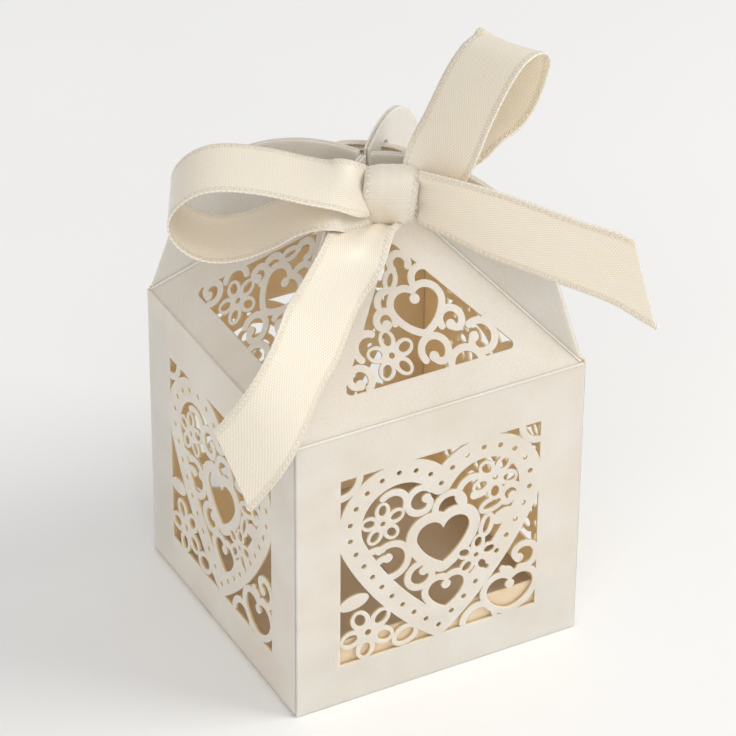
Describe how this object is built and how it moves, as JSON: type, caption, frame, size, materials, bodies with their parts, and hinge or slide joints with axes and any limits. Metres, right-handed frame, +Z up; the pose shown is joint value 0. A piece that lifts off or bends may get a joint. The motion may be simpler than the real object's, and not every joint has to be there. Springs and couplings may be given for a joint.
{
  "type": "favor box",
  "caption": "Small folded card gift box with cut-out heart and flower windows, a peaked roof with upright corner fins, and a satin ribbon bow that ties it shut.",
  "frame": {"origin": "middle of the base panel's underside", "axes": "+Z up; the front wall, with the bow above it, faces -Y"},
  "size_m": [0.0668, 0.06, 0.1044],
  "materials": {
    "pearl_card": "pearl ivory card, soft satin sheen",
    "satin_ribbon": "cream satin with beaded edges"
  },
  "bodies": {
    "sleeve": {"wall_front": "pearl_card", "wall_right": "pearl_card", "wall_back": "pearl_card", "wall_left": "pearl_card", "glue_tab": "pearl_card"},
    "base": {"base_panel": "pearl_card"},
    "tuck": {"base_tuck_flap": "pearl_card"},
    "dust_right": {"dust_flap_right": "pearl_card"},
    "dust_left": {"dust_flap_left": "pearl_card"},
    "bow": {"bow_knot": "satin_ribbon", "bow_loop_left": "satin_ribbon", "bow_loop_right": "satin_ribbon", "ribbon_tail_left": "satin_ribbon", "ribbon_tail_right": "satin_ribbon", "ribbon_band": "satin_ribbon"},
    "roof_front_flap": {"roof_front": "pearl_card"},
    "gusset_front_right_fold": {"gusset_front_right": "pearl_card"},
    "gusset_front_left_fold": {"gusset_front_left": "pearl_card"},
    "roof_right_flap": {"roof_right": "pearl_card"},
    "gusset_right_right_fold": {"gusset_right_right": "pearl_card"},
    "gusset_right_left_fold": {"gusset_right_left": "pearl_card"},
    "roof_back_flap": {"roof_back": "pearl_card"},
    "gusset_back_right_fold": {"gusset_back_right": "pearl_card"},
    "gusset_back_left_fold": {"gusset_back_left": "pearl_card"},
    "roof_left_flap": {"roof_left": "pearl_card"},
    "gusset_left_right_fold": {"gusset_left_right": "pearl_card"},
    "gusset_left_left_fold": {"gusset_left_left": "pearl_card"}
  },
  "joints": [
    {"name": "base_open", "type": "hinge", "parent": "sleeve", "child": "base", "pos_m": [0, 0.025, 0], "axis": [1, 0, 0], "range_deg": [0, 90]},
    {"name": "tuck_fold", "type": "hinge", "parent": "base", "child": "tuck", "pos_m": [0, -0.024, 0.0004], "axis": [-1, 0, 0], "range_deg": [0, 72.1]},
    {"name": "dust_right_open", "type": "hinge", "parent": "sleeve", "child": "dust_right", "pos_m": [0.025, 0, 0.00045], "axis": [0, -1, 0], "range_deg": [0, 90.1]},
    {"name": "dust_left_open", "type": "hinge", "parent": "sleeve", "child": "dust_left", "pos_m": [-0.025, 0, 0.00045], "axis": [0, 1, 0], "range_deg": [0, 90.1]},
    {"name": "ribbon_pull", "type": "slide", "parent": "sleeve", "child": "bow", "axis": [0, 0, 1], "range_m": [0, 0.1], "deforming": ["ribbon_band"]},
    {"name": "roof_front_open", "type": "hinge", "parent": "sleeve", "child": "roof_front_flap", "pos_m": [0, -0.025, 0.05], "axis": [1, 0, 0], "range_deg": [0, 41.1]},
    {"name": "gusset_front_right_unfold", "type": "hinge", "parent": "roof_front_flap", "child": "gusset_front_right_fold", "pos_m": [0, -0.00007, 0.07793], "axis": [-0.5496, 0.5496, 0.6292], "range_deg": [0, 49.3]},
    {"name": "gusset_front_left_unfold", "type": "hinge", "parent": "roof_front_flap", "child": "gusset_front_left_fold", "pos_m": [0, -0.00007, 0.07793], "axis": [-0.5496, -0.5496, -0.6292], "range_deg": [0, 49.3]},
    {"name": "roof_right_open", "type": "hinge", "parent": "sleeve", "child": "roof_right_flap", "pos_m": [0.025, 0, 0.05], "axis": [0, 1, 0], "range_deg": [0, 41.1]},
    {"name": "gusset_right_right_unfold", "type": "hinge", "parent": "roof_right_flap", "child": "gusset_right_right_fold", "pos_m": [0.00007, 0, 0.07793], "axis": [-0.5496, -0.5496, 0.6292], "range_deg": [0, 49.3]},
    {"name": "gusset_right_left_unfold", "type": "hinge", "parent": "roof_right_flap", "child": "gusset_right_left_fold", "pos_m": [0.00007, 0, 0.07793], "axis": [0.5496, -0.5496, -0.6292], "range_deg": [0, 49.3]},
    {"name": "roof_back_open", "type": "hinge", "parent": "sleeve", "child": "roof_back_flap", "pos_m": [0, 0.025, 0.05], "axis": [-1, 0, 0], "range_deg": [0, 41.1]},
    {"name": "gusset_back_right_unfold", "type": "hinge", "parent": "roof_back_flap", "child": "gusset_back_right_fold", "pos_m": [0, 0.00007, 0.07793], "axis": [0.5496, -0.5496, 0.6292], "range_deg": [0, 49.3]},
    {"name": "gusset_back_left_unfold", "type": "hinge", "parent": "roof_back_flap", "child": "gusset_back_left_fold", "pos_m": [0, 0.00007, 0.07793], "axis": [0.5496, 0.5496, -0.6292], "range_deg": [0, 49.3]},
    {"name": "roof_left_open", "type": "hinge", "parent": "sleeve", "child": "roof_left_flap", "pos_m": [-0.025, 0, 0.05], "axis": [0, -1, 0], "range_deg": [0, 41.1]},
    {"name": "gusset_left_right_unfold", "type": "hinge", "parent": "roof_left_flap", "child": "gusset_left_right_fold", "pos_m": [-0.00007, 0, 0.07793], "axis": [0.5496, 0.5496, 0.6292], "range_deg": [0, 49.3]},
    {"name": "gusset_left_left_unfold", "type": "hinge", "parent": "roof_left_flap", "child": "gusset_left_left_fold", "pos_m": [-0.00007, 0, 0.07793], "axis": [-0.5496, 0.5496, -0.6292], "range_deg": [0, 49.3]}
  ],
  "couplings": [
    {"joint": "tuck_fold", "follows": "base_open", "ratio": 0.8},
    {"joint": "dust_right_open", "follows": "base_open", "ratio": 1},
    {"joint": "dust_left_open", "follows": "base_open", "ratio": 1},
    {"joint": "roof_front_open", "follows": "ribbon_pull", "rad_per_m": 7.173},
    {"joint": "gusset_front_right_unfold", "follows": "ribbon_pull", "rad_per_m": 8.604},
    {"joint": "gusset_front_left_unfold", "follows": "ribbon_pull", "rad_per_m": 8.604},
    {"joint": "roof_right_open", "follows": "ribbon_pull", "rad_per_m": 7.173},
    {"joint": "gusset_right_right_unfold", "follows": "ribbon_pull", "rad_per_m": 8.604},
    {"joint": "gusset_right_left_unfold", "follows": "ribbon_pull", "rad_per_m": 8.604},
    {"joint": "roof_back_open", "follows": "ribbon_pull", "rad_per_m": 7.173},
    {"joint": "gusset_back_right_unfold", "follows": "ribbon_pull", "rad_per_m": 8.604},
    {"joint": "gusset_back_left_unfold", "follows": "ribbon_pull", "rad_per_m": 8.604},
    {"joint": "roof_left_open", "follows": "ribbon_pull", "rad_per_m": 7.173},
    {"joint": "gusset_left_right_unfold", "follows": "ribbon_pull", "rad_per_m": 8.604},
    {"joint": "gusset_left_left_unfold", "follows": "ribbon_pull", "rad_per_m": 8.604}
  ]
}
